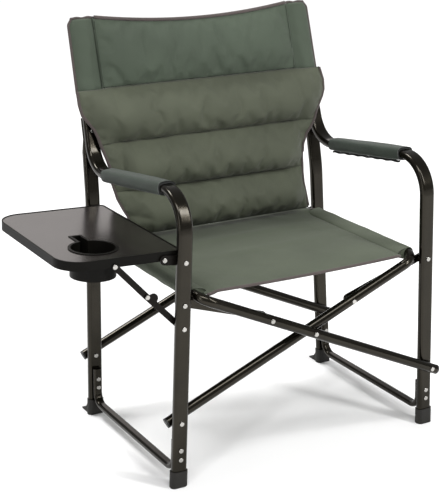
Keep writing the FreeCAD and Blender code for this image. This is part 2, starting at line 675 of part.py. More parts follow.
# ---- the assembly --------------------------------------------------------------------------------
def side_frame_nodes(name, side, moving_pins):
    """Nodes of one side frame. moving_pins are the leg holes of what turns on it."""
    fixed = frame_rivets()
    tube = drill(leaned(cut_for(side_tube(), fixed), side), moving_pins, RIVET_R)
    leg = drill(leaned(cut_for(rear_leg(), fixed), side), moving_pins, RIVET_R)
    return {
        name + "_side_tube": tube,
        name + "_rear_leg": leg,
        name + "_floor_runner": leaned(cut_for(floor_runner(), fixed), side),
        name + "_front_boot": boot(0.0, 0.0, side),
        name + "_rear_boot": boot(REAR_LEG_FOOT, REAR_LEG_SLOPE, side),
        name + "_arm_sleeve": leaned(arm_sleeve(), side),
        name + "_post_cap": leaned(post_cap(), side),
        name + "_back_pocket": leaned(back_sleeve(), side),
        name + "_frame_rivets": group([leaned(r, side) for r in fixed]),
    }


def build():
    nodes = {}
    left_pins = [(-PIVOT_X, X_PIVOT_HEIGHT), (-LINK_PIVOT_X, LINK_PIVOT_HEIGHT)]
    right_pins = [(-x, z) for x, z in left_pins]
    nodes.update(side_frame_nodes("left", -1, left_pins))
    nodes["left_side_tube"] = cut_for(nodes["left_side_tube"], [stay_leg_rivet()] + bracket_rivets())
    nodes["left_rear_leg"] = cut_for(nodes["left_rear_leg"], bracket_rivets())
    nodes.update(side_frame_nodes("right", 1, right_pins))
    nodes["left_seat_frame_tube"] = seat_frame(-1, FRONT_TUBE_Y)
    nodes["right_seat_frame_tube"] = seat_frame(1, BACK_TUBE_Y)
    nodes["left_seat_frame_caps"] = group(seat_frame_caps(-1, FRONT_TUBE_Y))
    nodes["right_seat_frame_caps"] = group(seat_frame_caps(1, BACK_TUBE_Y))
    nodes["left_pivot_rivets"] = group(pivot_rivets(1))
    nodes["right_pivot_rivets"] = group(pivot_rivets(-1))
    nodes["crossing_bolts"] = group(crossing_bolts())
    for name, side in (("left", -1), ("right", 1)):
        nodes[name + "_link_bars"] = group(link_bars(side))
        nodes[name + "_link_leg_rivets"] = group(link_leg_rivets(side))
        nodes[name + "_link_tube_studs"] = group(link_tube_studs(side))
        nodes[name + "_seat_pocket"] = seat_sleeve(side)
    nodes["table_board"] = table_board()
    nodes["table_rim"] = table_rim()
    nodes["cup_holder"] = cup_holder()
    nodes["table_rivets"] = group(table_rivets())
    nodes["table_front_bracket"] = front_bracket()
    nodes["table_rear_bracket"] = rear_bracket()
    nodes["table_bracket_rivets"] = group(bracket_rivets())
    nodes["stay_upper_bar"], nodes["stay_lower_bar"] = stay_bars()
    nodes["stay_leg_rivet"] = stay_leg_rivet()
    nodes["stay_elbow_button"] = stay_elbow_button()
    nodes["stay_catch"] = stay_catch()
    nodes["seat_panel"] = seat_panel()
    nodes["back_panel"] = back_panel()
    return nodes


def centred(nodes):
    """Moves every node so that the origin is the bottom centre of the whole box."""
    box = FreeCAD.BoundBox()
    for shape in nodes.values():
        box.add(shape.optimalBoundingBox(False))
    shift = V(-box.Center.x, -box.Center.y, -box.ZMin)
    for shape in nodes.values():
        shape.translate(shift)


NODES = build()
centred(NODES)
os.makedirs("parts", exist_ok=True)
for node_name, node_shape in NODES.items():
    node_shape.exportStep("parts/" + node_name + ".step")
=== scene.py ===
"""Folding camp chair: cloth, materials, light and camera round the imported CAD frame.

Lengths are in metres, in the frame's axes."""
import json
import math

import bmesh
import bpy
import numpy as np
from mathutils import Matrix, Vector, noise


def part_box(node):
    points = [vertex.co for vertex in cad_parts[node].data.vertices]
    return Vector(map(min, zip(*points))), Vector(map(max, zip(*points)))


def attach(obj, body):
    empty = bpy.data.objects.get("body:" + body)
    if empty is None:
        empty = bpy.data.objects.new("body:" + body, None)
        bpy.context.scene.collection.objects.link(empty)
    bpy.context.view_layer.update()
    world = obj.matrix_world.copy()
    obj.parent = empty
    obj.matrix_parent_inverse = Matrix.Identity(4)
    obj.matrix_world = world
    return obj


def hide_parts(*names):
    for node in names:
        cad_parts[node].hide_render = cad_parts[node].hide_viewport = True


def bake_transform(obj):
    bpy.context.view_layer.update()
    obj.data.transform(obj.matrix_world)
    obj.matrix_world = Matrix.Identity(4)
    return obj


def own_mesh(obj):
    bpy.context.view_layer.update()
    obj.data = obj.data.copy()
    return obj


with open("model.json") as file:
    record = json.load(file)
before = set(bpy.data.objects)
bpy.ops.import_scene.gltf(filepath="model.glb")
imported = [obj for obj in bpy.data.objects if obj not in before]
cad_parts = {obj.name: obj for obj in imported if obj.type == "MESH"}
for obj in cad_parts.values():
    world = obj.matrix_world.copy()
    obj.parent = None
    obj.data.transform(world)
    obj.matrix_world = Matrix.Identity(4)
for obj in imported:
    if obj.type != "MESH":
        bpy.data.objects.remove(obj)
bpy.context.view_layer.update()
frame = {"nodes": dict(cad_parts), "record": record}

# ---- places read from the frame -------------------------------------------------------------------
LEFT_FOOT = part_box("left_front_boot")
RIGHT_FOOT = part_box("right_front_boot")
MID_X = (LEFT_FOOT[0][0] + RIGHT_FOOT[1][0]) / 2
LEG_Y = (LEFT_FOOT[0][1] + LEFT_FOOT[1][1]) / 2

# ---- driving dimensions, from the chair's middle plane and its front legs ----------------------------
LEAN = math.tan(math.radians(2.15))
FOOT_HALF_SPACING = 0.3194
POST_AT_FLOOR = 0.250
POST_SLOPE = 0.30
ARM_HEIGHT = 0.633
ARM_SLOPE = 0.13
RAIL_X = 0.272
RAIL_Z = 0.4109
RAIL_BEND = 0.034
RAIL_LENGTH = 0.4242

BACK_TOP = 0.905
HEADER_SEAM = 0.754
CHANNEL_SEAMS = (HEADER_SEAM, 0.637, 0.528, 0.424)
SEAM_LAP = 0.0012              # neighbouring channels share this much cloth at a seam
POCKET_SEAM_X = 0.250
POCKET_LOW = 0.706             # where the pocket's outer edge starts to lean in
HEADER_LAP = 0.005             # the header's cloth runs this far into the pockets' seams
HEADER_DIP = 0.887             # height of the header's top edge at the middle
HEADER_RISE = 0.018            # how much higher that edge is at the pockets
HEADER_DROP = 0.135            # the header's height, for the size of its cells
PAD_WIDTH = 0.56               # the pad's width, for the size of its cells
SEAT_WIDTH = 0.51
SEAT_DEPTH = 0.41
CLOTH_CELL = 0.0065

# How far the stuffing stands out, its pressure, the spare cloth that wrinkles, and how far it drops.
HEADER_STUFFING = {"target": 0.029, "pressure": 3.0, "slack": 0.035, "hang": 0.25}
PAD_STUFFING = {"target": 0.042, "pressure": 6.0, "slack": 0.025, "hang": 0.22}
SEAT_STUFFING = {"target": 0.006, "pressure": 1.2, "slack": 0.012, "hang": 0.0}
START_SHARE = 0.55             # share of the stuffing's thickness that a channel is drawn with at first
REAR_SHARE = 0.55              # a channel is this much flatter behind than in front
FULLEST_PART = 97              # percentile of the thickness that is measured

# Half widths of the back's pad, left and right, from its lower end up to its top seam.
PAD_HEIGHTS = (
    0.424, 0.467, 0.486, 0.512, 0.549, 0.580, 0.605, 0.637, 0.655, 0.672, 0.688, 0.703, 0.725, 0.754,
)
PAD_LEFT = (
    0.232, 0.228, 0.239, 0.252, 0.262, 0.268, 0.274, 0.284, 0.288, 0.294, 0.306, 0.317, 0.321, 0.321,
)
PAD_RIGHT = (
    0.256, 0.248, 0.244, 0.242, 0.243, 0.247, 0.256, 0.281, 0.290, 0.301, 0.312, 0.319, 0.321, 0.315,
)
# Depth of the cloth's middle layer, by height.
CLOTH_HEIGHTS = (0.400, 0.430, 0.528, 0.637, 0.754, 0.950)
CLOTH_DEPTHS = (0.400, 0.402, 0.412, 0.432, 0.470, 0.529)


def at(x, y, z):
    """A point measured from the middle plane and the front legs, in the frame's axes."""
    return Vector((x + MID_X, y + LEG_Y, z))


def frame_x(z):
    return FOOT_HALF_SPACING - LEAN * z


def post_y(z):
    return POST_AT_FLOOR + POST_SLOPE * z


def smooth(value, low, high):
    t = np.clip((value - low) / (high - low), 0.0, 1.0)
    return t * t * (3 - 2 * t)


# ---- node helpers -----------------------------------------------------------------------------------
class Nodes:
    """Short calls for building one material's node tree."""

    def __init__(self, name):
        self.material = bpy.data.materials.new(name)
        self.material.use_nodes = True
        self.tree = self.material.node_tree
        self.shader = self.tree.nodes["Principled BSDF"]

    def add(self, kind, inputs=(), **settings):
        node = self.tree.nodes.new(kind)
        for key, value in settings.items():
            setattr(node, key, value)
        for key, value in dict(inputs).items():
            if isinstance(value, bpy.types.NodeSocket):
                self.tree.links.new(value, node.inputs[key])
            else:
                node.inputs[key].default_value = value
        return node

    def link(self, source, name):
        self.tree.links.new(source, self.shader.inputs[name])

    def ramp(self, factor, stops):
        node = self.add("ShaderNodeValToRGB", {"Fac": factor})
        elements = node.color_ramp.elements
        while len(elements) < len(stops):
            elements.new(0.5)
        for element, (place, colour) in zip(elements, stops):
            element.position = place
            element.color = (*colour, 1.0)
        return node.outputs["Color"]

    def noise(self, vector, scale, detail=4.0, roughness=0.55):
        inputs = {"Vector": vector, "Scale": scale, "Detail": detail, "Roughness": roughness}
        return self.add("ShaderNodeTexNoise", inputs).outputs["Fac"]

    def math(self, operation, a, b):
        return self.add("ShaderNodeMath", {0: a, 1: b}, operation=operation).outputs[0]

    def spread(self, value, low, high):
        inputs = {"Value": value, "To Min": low, "To Max": high}
        return self.add("ShaderNodeMapRange", inputs).outputs["Result"]

    def bump(self, height, strength, distance):
        inputs = {"Height": height, "Strength": strength, "Distance": distance}
        return self.add("ShaderNodeBump", inputs).outputs["Normal"]

    def set(self, **values):
        for key, value in values.items():
            self.shader.inputs[key.replace("_", " ")].default_value = value


CLOTH_TONE = 0.14                      # how far the dye's tone wanders
CLOTH_ROUGHNESS = 0.75


def shade(colour, factor):
    return tuple(min(1.0, c * factor) for c in colour)


def metal(name, colour, metallic, roughness, coat=0.0, wear=0.0, gloss=0.5):
    n = Nodes(name)
    place = n.add("ShaderNodeTexCoord").outputs["Object"]
    cloud = n.noise(place, 14.0)
    grain = n.noise(place, 900.0, 2.0)
    tone = n.ramp(cloud, ((0.3, shade(colour, 0.82)), (0.7, shade(colour, 1.18))))
    scuff = n.ramp(n.noise(place, 160.0, 6.0, 0.7), ((0.60, (0, 0, 0)), (0.78, (1, 1, 1))))
    mix = n.add("ShaderNodeMix", data_type="RGBA")
    n.tree.links.new(n.math("MULTIPLY", scuff, wear), mix.inputs["Factor"])
    n.tree.links.new(tone, mix.inputs["A"])
    mix.inputs["B"].default_value = (*shade(colour, 2.4), 1.0)
    n.link(mix.outputs["Result"], "Base Color")
    n.link(n.spread(cloud, roughness * 0.8, roughness * 1.25), "Roughness")
    n.link(n.bump(grain, 0.12, 0.0002), "Normal")
    n.set(Metallic=metallic, Coat_Weight=coat, Coat_Roughness=0.12, Specular_IOR_Level=gloss)
    return n.material


def plastic(name, colour, roughness, grain_scale, grain_depth, coat=0.0, gloss=0.5):
    n = Nodes(name)
    place = n.add("ShaderNodeTexCoord").outputs["Object"]
    cloud = n.noise(place, 9.0)
    n.link(n.ramp(cloud, ((0.3, shade(colour, 0.85)), (0.7, shade(colour, 1.2)))), "Base Color")
    n.link(n.spread(cloud, roughness * 0.85, roughness * 1.15), "Roughness")
    n.link(n.bump(n.noise(place, grain_scale, 3.0), 0.35, grain_depth), "Normal")
    n.set(Coat_Weight=coat, Coat_Roughness=0.2, Specular_IOR_Level=gloss)
    return n.material


def woven(name, colour, thread=0.0011, sheen=0.08):
    """Plain woven polyester: two crossed threads, slubs, soft tone changes and a little sheen."""
    n = Nodes(name)
    place = n.add("ShaderNodeTexCoord").outputs["UV"]
    around = n.add("ShaderNodeTexCoord").outputs["Object"]
    turns = 2 * math.pi / thread
    split = n.add("ShaderNodeSeparateXYZ", {"Vector": place})
    warp = n.math("SINE", n.math("MULTIPLY", split.outputs["X"], turns), 0.0)
    weft = n.math("SINE", n.math("MULTIPLY", split.outputs["Y"], turns), 0.0)
    cross = n.math("MULTIPLY", warp, weft)
    slub = n.noise(place, 260.0, 3.0)
    height = n.math("ADD", n.math("MULTIPLY", cross, 0.5), slub)
    cloud = n.noise(around, 7.0, 5.0)
    fleck = n.noise(place, 700.0, 2.0)
    tone = n.math("ADD", n.math("MULTIPLY", cloud, 0.75), n.math("MULTIPLY", fleck, 0.25))
    low, high = shade(colour, 1 - CLOTH_TONE), shade(colour, 1 + CLOTH_TONE)
    n.link(n.ramp(tone, ((0.34, low), (0.66, high))), "Base Color")
    n.link(n.bump(height, 0.35, 0.0003), "Normal")
    n.set(Roughness=CLOTH_ROUGHNESS, Sheen_Weight=sheen, Sheen_Roughness=0.45, Specular_IOR_Level=0.25)
    return n.material


def floor_material():
    n = Nodes("studio_floor")
    place = n.add("ShaderNodeTexCoord").outputs["Object"]
    n.link(n.ramp(n.noise(place, 3.0), ((0.3, (0.93, 0.93, 0.93)), (0.7, (0.96, 0.96, 0.96)))), "Base Color")
    n.set(Roughness=0.9, Specular_IOR_Level=0.1)
    return n.material


BRONZE = (0.017, 0.0145, 0.0098)
BLACK_PAINT = (0.007, 0.006, 0.005)
RIVET_GREY = (0.36, 0.35, 0.33)
BLACK_RUBBER = (0.013, 0.012, 0.010)
BLACK_CAP = (0.018, 0.018, 0.018)
BOARD_BROWN = (0.010, 0.0080, 0.0075)
RIM_BLACK = (0.004, 0.0037, 0.003)
LINING_BLACK = (0.012, 0.013, 0.012)
HEADER_GREEN = (0.0495, 0.064, 0.045)
OLIVE_GREEN = (0.063, 0.070, 0.0475)
SEAT_GREEN = (0.0575, 0.0675, 0.046)
BINDING_BROWN = (0.060, 0.048, 0.045)
SLEEVE_GREEN = (0.020, 0.029, 0.0205)

MATERIALS = {
    "frame_tube": metal("bronze_tube", BRONZE, 0.9, 0.2, coat=0.16),
    "black_steel": metal("black_steel", BLACK_PAINT, 0.4, 0.36, wear=0.2, gloss=0.1),
    "rivet_steel": metal("bright_rivet", RIVET_GREY, 1.0, 0.24),
    "boot_rubber": plastic("boot_rubber", BLACK_RUBBER, 0.6, 500.0, 0.0004, gloss=0.3),
    "end_plastic": plastic("end_plastic", BLACK_CAP, 0.5, 600.0, 0.0002),
    "table_board": plastic("table_board", BOARD_BROWN, 0.24, 700.0, 0.00012, coat=0.3),
    "table_rim": plastic("table_rim", RIM_BLACK, 0.4, 700.0, 0.0001, gloss=0.06),
    "cup_plastic": plastic("cup_plastic", RIM_BLACK, 0.4, 420.0, 0.0002, gloss=0.08),
    "header_cloth": woven("header_cloth", HEADER_GREEN),
    "pad_cloth": woven("pad_cloth", OLIVE_GREEN),
    "seat_cloth": woven("seat_cloth", SEAT_GREEN),
    "sleeve_cloth": woven("sleeve_cloth", SLEEVE_GREEN, sheen=0.15),
    "binding_cloth": woven("binding_cloth", BINDING_BROWN, thread=0.0016, sheen=0.15),
    "lining_cloth": woven("lining_cloth", LINING_BLACK, sheen=0.05),
}

# Hard edges that catch the light, with their rounding in metres.
ROUNDED_NODES = {
    "table_rim": 0.0012,
    "cup_holder": 0.0006,
    "stay_upper_bar": 0.0004,
    "stay_lower_bar": 0.0004,
}


def paint_cad():
    slots = {s["node"]: s["material_slot"] for s in frame["record"]["subparts"]}
    for name, piece in frame["nodes"].items():
        material = MATERIALS.get(name) or MATERIALS.get(slots[name])
        if material is None:
            continue                   # cloth: made below
        piece.data.materials.clear()
        piece.data.materials.append(material)
        if name in ROUNDED_NODES:
            edge = piece.modifiers.new("rounded_edges", "BEVEL")
            edge.width = ROUNDED_NODES[name]
            edge.segments = 2
            edge.angle_limit = math.radians(50)


# ---- mesh helpers -----------------------------------------------------------------------------------
def new_object(name, vertices, faces, material, uvs=None, subdivide=0):
    mesh = bpy.data.meshes.new(name)
    mesh.from_pydata([tuple(v) for v in vertices], [], faces)
    for item in material if isinstance(material, (list, tuple)) else (material,):
        mesh.materials.append(item)
    if uvs is not None:
        layer = mesh.uv_layers.new(name="cloth")
        for loop in mesh.loops:
            layer.data[loop.index].uv = uvs[loop.vertex_index]
    mesh.polygons.foreach_set("use_smooth", [True] * len(mesh.polygons))
    piece = bpy.data.objects.new(name, mesh)
    bpy.context.scene.collection.objects.link(piece)
    if subdivide:
        soften(piece, subdivide)
    return piece


def crease_rim(piece, held):
    """Keeps a channel's seams where they are when the mesh is smoothed."""
    mesh = piece.data
    crease = mesh.attributes.new("crease_edge", "FLOAT", "EDGE")
    values = [1.0 if held[e.vertices[0]] and held[e.vertices[1]] else 0.0 for e in mesh.edges]
    crease.data.foreach_set("value", values)


def soften(piece, levels):
    modifier = piece.modifiers.new("smooth", "SUBSURF")
    modifier.levels = levels
    modifier.render_levels = levels
    apply_modifiers(piece)


def apply_modifiers(piece):
    graph = bpy.context.evaluated_depsgraph_get()
    mesh = bpy.data.meshes.new_from_object(piece.evaluated_get(graph))
    piece.modifiers.clear()
    piece.data = mesh
    mesh.polygons.foreach_set("use_smooth", [True] * len(mesh.polygons))


def grid_faces(rows, columns, first=0, flip=False, wrap=False):
    faces = []
    last = columns if wrap else columns - 1
    for i in range(rows - 1):
        for j in range(last):
            k = (j + 1) % columns
            quad = (
                first + i * columns + j,
                first + i * columns + k,
                first + (i + 1) * columns + k,
                first + (i + 1) * columns + j,
            )
            faces.append(quad[::-1] if flip else quad)
    return faces


def tube(name, points, radius, material, segments=10, flatten=1.0):
    """A closed round strip along points: binding, piping and hems."""
    points = [Vector(p) for p in points]
    vertices, uvs = [], []
    along = 0.0
    side = None
    for i, point in enumerate(points):
        ahead = points[min(i + 1, len(points) - 1)] - points[max(i - 1, 0)]
        ahead.normalize()
        if side is None:
            side = ahead.orthogonal().normalized()
        side = (side - ahead * side.dot(ahead)).normalized()
        other = ahead.cross(side)
        if i:
            along += (point - points[i - 1]).length
        for k in range(segments):
            angle = 2 * math.pi * k / segments
            vertices.append(point + (side * math.cos(angle) + other * math.sin(angle) * flatten) * radius)
            uvs.append((radius * angle, along))
    faces = grid_faces(len(points), segments, wrap=True)
    end = (len(points) - 1) * segments
    faces.append(tuple(range(segments))[::-1])
    faces.append(tuple(range(end, end + segments)))
    return new_object(name, vertices, faces, material, uvs)


def double_wall_faces(rows, ring, side):
    """Outer wall, inner wall and end rings of a sleeve whose two walls are stored one after the other."""
    count = rows * ring
    faces = grid_faces(rows, ring, wrap=True, flip=side > 0)
    faces += grid_faces(rows, ring, first=count, wrap=True, flip=side < 0)
    for base in (0, (rows - 1) * ring):
        for k in range(ring):
            j = (k + 1) % ring
            quad = (base + k, base + j, count + base + j, count + base + k)
            faces.append(quad if (base == 0) == (side < 0) else quad[::-1])
    return faces


# ---- quilted cloth ----------------------------------------------------------------------------------
def channel(rows, columns, place, first, puff):
    """One stuffed channel: a front and a back layer that share their edge points.

    place(u, v) gives the middle layer's point and its outward normal, u and v from 0 to 1."""
    index, vertices, uvs, middles, edge = {}, [], [], [], []
    for layer in (1, -1):
        for i in range(rows):
            for j in range(columns):
                rim = i in (0, rows - 1) or j in (0, columns - 1)
                if rim and layer < 0:
                    index[layer, i, j] = index[1, i, j]
                    continue
                u, v = j / (columns - 1), i / (rows - 1)
                point, normal = place(u, v)
                swell = (math.sin(math.pi * v) ** 0.5) * min(1.0, 9 * u, 9 * (1 - u))
                depth = puff * (1.0 if layer > 0 else REAR_SHARE) * swell
                rough = noise.noise(Vector((point.x * 31, point.z * 31, point.y * 31 + layer * 5))) * 0.0012
                index[layer, i, j] = len(vertices)
                vertices.append(point + normal * (layer * depth + (0.0 if rim else rough)))
                middles.append(point)
                uvs.append((point.x, point.z + point.y))
                edge.append(rim)
    faces = []
    for layer in (1, -1):
        for i in range(rows - 1):
            for j in range(columns - 1):
                quad = [index[layer, i, j], index[layer, i, j + 1],
                        index[layer, i + 1, j + 1], index[layer, i + 1, j]]
                quad = quad[::-1] if layer > 0 else quad
                faces.append(tuple(first + q for q in quad))
    return vertices, faces, uvs, middles, edge


def inflate(piece, held, pressure, slack, frames=22):
    """Cloth simulation with the seams held: the stuffing swells it and the spare cloth wrinkles."""
    group = piece.vertex_groups.new(name="seams")
    group.add([i for i, is_held in enumerate(held) if is_held], 1.0, "REPLACE")
    modifier = piece.modifiers.new("cloth", "CLOTH")
    settings = modifier.settings
    settings.quality = 6
    settings.mass = 0.2
    settings.tension_stiffness = 12
    settings.compression_stiffness = 8
    settings.shear_stiffness = 4
    settings.bending_stiffness = 0.25
    settings.air_damping = 2.0
    settings.use_pressure = True
    settings.uniform_pressure_force = pressure
    settings.shrink_min = -slack
    settings.vertex_group_mass = "seams"
    settings.effector_weights.gravity = 0.0
    modifier.collision_settings.use_collision = False
    modifier.point_cache.frame_start = 1
    modifier.point_cache.frame_end = frames
    scene = bpy.context.scene
    for step in range(1, frames + 1):
        scene.frame_set(step)
    apply_modifiers(piece)
    piece.vertex_groups.clear()
    scene.frame_set(1)


def settle(piece, middles, target, hang):
    """Scales the swelling so that the fullest part stands target proud of the middle layer.

    The stuffing then drops by the share hang of its thickness, which makes each channel fuller low down."""
    now = np.array([v.co for v in piece.data.vertices])
    base = np.array([tuple(p) for p in middles])
    move = now - base
    thickness = np.linalg.norm(move, axis=1)
    scale = target / np.percentile(thickness, FULLEST_PART)
    result = base + move * scale
    result[:, 2] -= hang * scale * thickness
    piece.data.vertices.foreach_set("co", result.ravel())
    piece.data.update()


def quilt(name, channels, material, target, pressure, slack, hang):
    """One piece of stuffed channels, each given as its rows, its columns and its place function."""
    vertices, faces, uvs, middles, held = [], [], [], [], []
    for rows, columns, place in channels:
        part = channel(rows, columns, place, len(vertices), target * START_SHARE)
        for whole, piece_part in zip((vertices, faces, uvs, middles, held), part):
            whole.extend(piece_part)
    piece = new_object(name, vertices, faces, material, uvs)
    inflate(piece, held, pressure, slack)
    settle(piece, middles, target, hang)
    crease_rim(piece, held)
    soften(piece, 1)
    return piece


# ---- the back ---------------------------------------------------------------------------------------
def cloth_depth(z):
    return float(np.interp(z, CLOTH_HEIGHTS, CLOTH_DEPTHS))


def cloth_normal(z):
    """Outward normal of the back's front face, square to its slope."""
    slope = (cloth_depth(z + 0.02) - cloth_depth(z - 0.02)) / 0.04
    return Vector((0.0, -1.0, slope)).normalized()


def header_top(x):
    return HEADER_DIP + HEADER_RISE * min(1.0, abs(x) / POCKET_SEAM_X) ** 2


def header_place(u, v):
    x = (2 * u - 1) * (POCKET_SEAM_X + HEADER_LAP)
    z = header_top(x) + (HEADER_SEAM - header_top(x)) * v
    return at(x, cloth_depth(z), z), cloth_normal(z)


def pad_edge(z, side):
    return side * float(np.interp(z, PAD_HEIGHTS, PAD_LEFT if side < 0 else PAD_RIGHT))


POST_REACH = (0.235, 0.272)            # over this width the pad comes forward to pass the post
POST_CLEARANCE = 0.0185                # from the post's middle to the pad's middle layer
PAD_FREE_BELOW = 0.56                  # lower down the pad is narrower than the posts


def pad_point(x, z):
    """Middle layer of the pad: its ends pass in front of the posts."""
    beside = smooth(abs(x), *POST_REACH)
    front = post_y(z) - POST_CLEARANCE
    y = cloth_depth(z)
    if z > PAD_FREE_BELOW:
        y = y + (min(y, front) - y) * float(beside)
    return at(x, y, z)


def pad_place(upper, lower):
    def place(u, v):
        z = upper + SEAM_LAP + (lower - upper - 2 * SEAM_LAP) * v
        x = pad_edge(z, -1) + (pad_edge(z, 1) - pad_edge(z, -1)) * u
        return pad_point(x, z), cloth_normal(z)

    return place


def cells(length):
    return max(6, round(length / CLOTH_CELL))


def back_header():
    channels = [(cells(HEADER_DROP), cells(2 * POCKET_SEAM_X), header_place)]
    piece = quilt("back_header", channels, MATERIALS["header_cloth"], **HEADER_STUFFING)
    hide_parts("back_panel")
    return piece


def back_pad():
    channels = []
    for upper, lower in zip(CHANNEL_SEAMS, CHANNEL_SEAMS[1:]):
        channels.append((cells(upper - lower) + 3, cells(PAD_WIDTH), pad_place(upper, lower)))
    return quilt("back_pad", channels, MATERIALS["pad_cloth"], **PAD_STUFFING)


def binding(name, points, radius):
    return tube(name, points, radius, MATERIALS["binding_cloth"], flatten=0.8)


POCKET_FOOT = POCKET_LOW + 0.004       # height of the pocket's lower end
POCKET_OUTER = 0.3155                  # from the middle plane to the pocket's outer edge, at its lower end
POCKET_TAPER = 0.004                   # how far that edge leans in by the top
POCKET_ROUNDING = 0.008                # how much is rounded off its top outer corner
POCKET_FLAT = 0.0024                   # half thickness of the pocket away from the post
POCKET_ROOM = 0.0106                   # how much thicker the half is round the post
POCKET_REACH = 0.025                   # how far to each side of the post it stays thick
POCKET_FORWARD = 0.001
LEAN_STRETCH = 1.04                    # the leaning post is this much deeper when measured level
BINDING_FOOT = POCKET_LOW + 0.04       # height where the outer binding starts
BINDING_OUTER = 0.3158
BINDING_CORNER = 0.303                 # where the binding turns inward along the top


def pocket_y(z):
    return post_y(z) - POCKET_FORWARD


def pocket_cloth(name, side):
    """Flat sleeve of the header's cloth round one post, from the header's side seam to the outer binding."""
    rows, ring = 46, 40
    vertices, uvs = [], []
    for i in range(rows):
        t = i / (rows - 1)
        z = POCKET_FOOT + (BACK_TOP - POCKET_FOOT) * t
        outer = POCKET_OUTER - POCKET_TAPER * t - POCKET_ROUNDING * float(smooth(t, 0.93, 1.0))
        for k in range(ring):
            angle = 2 * math.pi * k / ring
            c, s = math.cos(angle), math.sin(angle)
            x = (POCKET_SEAM_X + outer) / 2 + (outer - POCKET_SEAM_X) / 2 * c
            round_post = math.exp(-((x - frame_x(z)) / POCKET_REACH) ** 4)
            thick = POCKET_FLAT + POCKET_ROOM * round_post
            wrinkle = noise.noise(Vector((x * 22, z * 38, side * 7 + s))) * 0.0026
            depth = s * thick + wrinkle * abs(s)
            vertices.append(at(side * x, pocket_y(z) + depth * LEAN_STRETCH, z))
            uvs.append((x + (0.08 if s < 0 else 0.0), z))
    faces = grid_faces(rows, ring, wrap=True, flip=side < 0)
    low_end = tuple(range(ring))
    high_end = tuple(range((rows - 1) * ring, rows * ring))
    faces.append(low_end if side < 0 else low_end[::-1])
    faces.append(high_end[::-1] if side < 0 else high_end)
    return new_object(name + "_back_pocket_cloth", vertices, faces, MATERIALS["header_cloth"], uvs, 1)


def pocket_edge(side):
    """Line of the binding up the pocket's outer edge and inward along its top."""
    edge = []
    for z in np.linspace(BINDING_FOOT, BACK_TOP, 40):
        rounding = POCKET_ROUNDING * smooth(z, BACK_TOP - 0.014, BACK_TOP)
        x = BINDING_OUTER - POCKET_TAPER * (z - POCKET_LOW) / 0.2 - rounding
        edge.append(at(side * x, pocket_y(z), z))
    for i, x in enumerate(np.linspace(BINDING_CORNER, POCKET_SEAM_X, 13)[1:]):
        edge.append(at(side * x, pocket_y(BACK_TOP), BACK_TOP + 0.001 * math.sin(i)))
    return edge


def post_pocket(name, side):
    """The pocket, the binding on its outer edge and the seam that joins it to the header."""
    piece = pocket_cloth(name, side)
    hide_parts(name + "_back_pocket")
    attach(piece, name + "_side")
    strip = binding(name + "_pocket_binding", pocket_edge(side), 0.0038)
    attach(strip, name + "_side")
    seam = [at(side * (POCKET_SEAM_X + 0.001), cloth_depth(z) - 0.004, z)
            for z in np.linspace(HEADER_SEAM + 0.004, BACK_TOP - 0.004, 30)]
    stitch = tube(name + "_pocket_seam", seam, 0.0010, MATERIALS["header_cloth"], segments=6)
    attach(stitch, name + "_side")


def fold_back(piece, keep, drop):
    """Attaches the piece to the left side's body and gives it its own mesh."""
    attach(piece, "left_side")
    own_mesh(piece)


# What is left of the width when folded, and how far the line of gathering slopes.
HEADER_FOLD = (0.45, 0.09)
PAD_FOLD = (0.385, 0.069)


def make_back():
    header = back_header()
    fold_back(header, *HEADER_FOLD)
    pad = back_pad()
    fold_back(pad, *PAD_FOLD)
    top = [at(x, cloth_depth(header_top(x)), header_top(x) + 0.0015)
           for x in np.linspace(-POCKET_SEAM_X, POCKET_SEAM_X, 60)]
    strip = binding("header_binding", top, 0.0042)
    fold_back(strip, *HEADER_FOLD)
    for name, side in (("left", -1), ("right", 1)):
        heights = np.linspace(CHANNEL_SEAMS[-1] + 0.004, HEADER_SEAM, 90)
        edge = [pad_point(pad_edge(z, side), z) for z in heights]
        strip = binding(name + "_pad_binding", edge, 0.0038)
        fold_back(strip, *PAD_FOLD)
    post_pocket("left", -1)
    post_pocket("right", 1)


# ---- the seat ---------------------------------------------------------------------------------------
SEAT_HALF = RAIL_X - 0.0275
SEAT_FRONT = -0.004
SEAT_REAR = 0.424
SEAT_CORNER = {-1: 0.006, 1: 0.014}    # how much is cut off the front corners, left and right
SEAT_REAR_CORNER = 0.005
SEAT_FLARE = 0.0125                    # the cloth is wider past the pockets' ends
SEAT_MIDDLE_Z = 0.4185
SEAT_SAG = 0.0035
SEAT_FOLDS = (0.185, 0.290)            # soft ridges across the seat, from its front
FOLD_HEIGHT = 0.0028
FOLD_WIDTH = 0.016
SIDE_TUCK = 0.0050                     # the cloth turns down this far where it meets the pockets


def seat_half(y, side):
    """Half width of the seat's cloth: its corners are cut off round the seat frames' bends."""
    cut = max(0.0, SEAT_FRONT + SEAT_CORNER[side] - y, y - SEAT_REAR + SEAT_REAR_CORNER)
    flare = smooth(y, 0.384, 0.392) + (smooth(-y, -0.014, -0.006) if side < 0 else 0.0)
    return SEAT_HALF - cut + SEAT_FLARE * float(flare)


def seat_place(u, v):
    y = SEAT_REAR + (SEAT_FRONT - SEAT_REAR) * v
    x = (2 * u - 1) * seat_half(y, 1 if u > 0.5 else -1)
    inward = 1 - (x / SEAT_HALF) ** 2
    ridge = sum(FOLD_HEIGHT * math.exp(-((y - fold - 0.03 * x) / FOLD_WIDTH) ** 2) for fold in SEAT_FOLDS)
    tuck = SIDE_TUCK * smooth(abs(x), SEAT_HALF - 0.020, SEAT_HALF) * (1 - smooth(y, 0.36, 0.40))
    z = SEAT_MIDDLE_Z - SEAT_SAG * inward + ridge * inward - float(tuck)
    return at(x, y, z), Vector((0.0, 0.0, 1.0))


